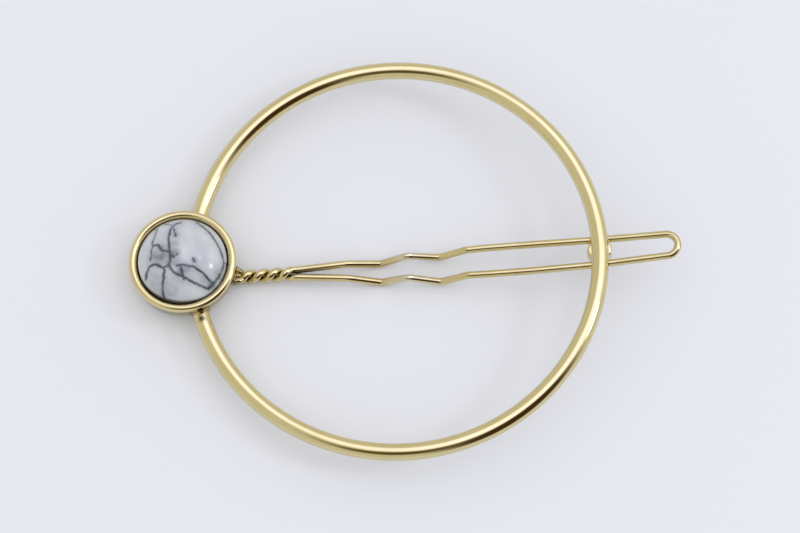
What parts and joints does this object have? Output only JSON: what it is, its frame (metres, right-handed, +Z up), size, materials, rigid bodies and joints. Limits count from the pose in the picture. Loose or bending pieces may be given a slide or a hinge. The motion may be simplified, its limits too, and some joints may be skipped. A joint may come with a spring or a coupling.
{
  "type": "hairpin",
  "caption": "Wire circle hairpin with a domed stone in a round cup and a sprung, crimped and twisted wire pin that holds the hair behind the ring.",
  "frame": {"origin": "centre of the outline's footprint, at the height of the lowest crimp", "axes": "+X from the stone to the pin's folded tip, +Y across the ring, +Z up out of the stone's face; the ring lies parallel to XY"},
  "size_m": [0.064, 0.0492, 0.0086],
  "materials": {
    "gold_plate": "polished gold plating",
    "solder": "plated solder, slightly duller",
    "stone": "polished white stone with dark grey veins",
    "glue": "cured clear glue"
  },
  "bodies": {
    "frame": {"ring": "gold_plate", "stone_cup": "gold_plate", "adhesive_bed": "glue", "cabochon": "stone", "ring_solder": "solder", "pin_root": "gold_plate", "pin_solder": "solder", "keeper": "gold_plate"},
    "pin": {"pin_legs": "gold_plate"}
  },
  "joints": [
    {"name": "pin_flex", "type": "hinge", "parent": "frame", "child": "pin", "pos_m": [-0.01258, -0.00092, 0.00243], "axis": [-0.0262, 0.9997, 0], "range_deg": [0, 16], "stiffness_Nm_per_rad": 0.3, "springref_deg": -2.86}
  ]
}
